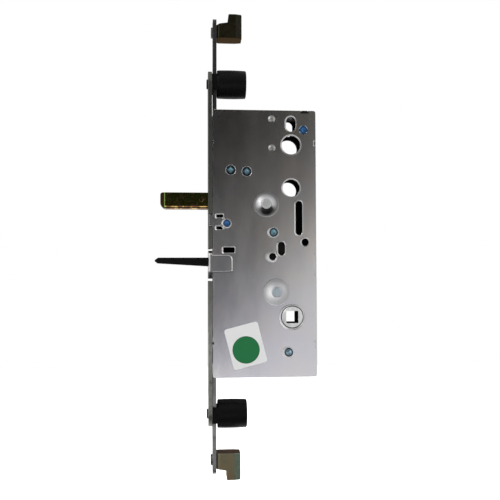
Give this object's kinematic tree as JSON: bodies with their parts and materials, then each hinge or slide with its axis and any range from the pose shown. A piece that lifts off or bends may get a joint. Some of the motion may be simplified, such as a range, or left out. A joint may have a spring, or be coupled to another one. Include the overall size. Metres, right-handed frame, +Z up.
{
  "type": "passive door lock",
  "caption": "Mortise lock for the passive leaf of a double door, with sliding drive strips, hooks, a sprung bolt and a folding lever.",
  "frame": {"origin": "middle between the two face fixing holes, on the outer face; the mount is stated 1.5 mm behind it, where the countersinks end", "axes": "+X into the door, +Z up along the face, Y across the case"},
  "size_m": [0.1062, 0.0216, 0.3073],
  "materials": {
    "zinc_steel": "zinc-plated sheet steel, satin",
    "strip_steel": "plain zinc-plated steel",
    "black_plastic": "moulded black plastic",
    "yellow_chromate": "yellow-chromated zinc, iridescent",
    "olive_chromate": "olive-chromated zinc, iridescent",
    "blue_zinc": "blue-passivated zinc",
    "bright_hub": "bright zinc casting",
    "spring_steel": "spring wire",
    "white_label": "white paper label with a plain green disc"
  },
  "bodies": {
    "case": {"upper_face_strip": "zinc_steel", "lower_face_strip": "zinc_steel", "lever_frame": "zinc_steel", "case_cover": "zinc_steel", "case_tray": "zinc_steel", "upper_guide_bush": "black_plastic", "lower_guide_bush": "black_plastic", "bush_rivets": "strip_steel", "rocker_pivot": "strip_steel", "follower_rings": "black_plastic", "lever_pivot_pin": "strip_steel", "bolt_guide_pin": "blue_zinc", "spring_seat": "zinc_steel", "cover_screws": "blue_zinc", "screw_pillars": "strip_steel", "case_rivets": "strip_steel", "inner_rivets": "blue_zinc", "blank_label": "white_label", "drive_spring": "spring_steel", "bolt_spring": "spring_steel"},
    "lower_bar": {"lower_drive_strip": "strip_steel", "lower_slide_plate": "strip_steel", "lower_strip_rivets": "strip_steel", "lower_hook": "olive_chromate"},
    "upper_bar": {"upper_drive_strip": "strip_steel", "upper_slide_plate": "strip_steel", "upper_strip_rivets": "strip_steel", "upper_hook": "olive_chromate"},
    "rocker_set": {"rocker": "strip_steel", "rocker_pins": "strip_steel"},
    "follower_set": {"follower_hub": "bright_hub", "follower_pin": "strip_steel"},
    "lever_set": {"operating_lever": "black_plastic", "lever_crank": "strip_steel", "crank_pin": "strip_steel"},
    "bolt_set": {"latch_bolt": "yellow_chromate", "bolt_tail": "yellow_chromate", "bolt_rivet": "strip_steel"}
  },
  "joints": [
    {"name": "lower_bar_slide", "type": "slide", "parent": "case", "child": "lower_bar", "axis": [0, 0, 1], "range_m": [0, 0.013], "stiffness_N_per_m": 300, "springref_m": -0.01, "deforming": ["drive_spring"]},
    {"name": "upper_bar_slide", "type": "slide", "parent": "case", "child": "upper_bar", "axis": [0, 0, -1], "range_m": [0, 0.013]},
    {"name": "rocker_turn", "type": "hinge", "parent": "case", "child": "rocker_set", "pos_m": [0.0447, 0, -0.0296], "axis": [0, 1, 0], "range_deg": [0, 51.37]},
    {"name": "follower_turn", "type": "hinge", "parent": "case", "child": "follower_set", "pos_m": [0.055, 0, -0.046], "axis": [0, 1, 0], "range_deg": [0, 51.37]},
    {"name": "lever_swing", "type": "hinge", "parent": "case", "child": "lever_set", "pos_m": [0.007, 0, -0.0095], "axis": [0, -1, 0], "range_deg": [0, 88.69]},
    {"name": "bolt_slide", "type": "slide", "parent": "case", "child": "bolt_set", "axis": [1, 0, 0], "range_m": [0, 0.028], "stiffness_N_per_m": 100, "springref_m": -0.02, "deforming": ["bolt_spring"]}
  ],
  "couplings": [
    {"joint": "upper_bar_slide", "follows": "lower_bar_slide", "ratio": 1},
    {"joint": "rocker_turn", "follows": "lower_bar_slide", "rad_per_m": 68.952},
    {"joint": "follower_turn", "follows": "lower_bar_slide", "rad_per_m": 68.952},
    {"joint": "lever_swing", "follows": "lower_bar_slide", "rad_per_m": 119.06}
  ]
}
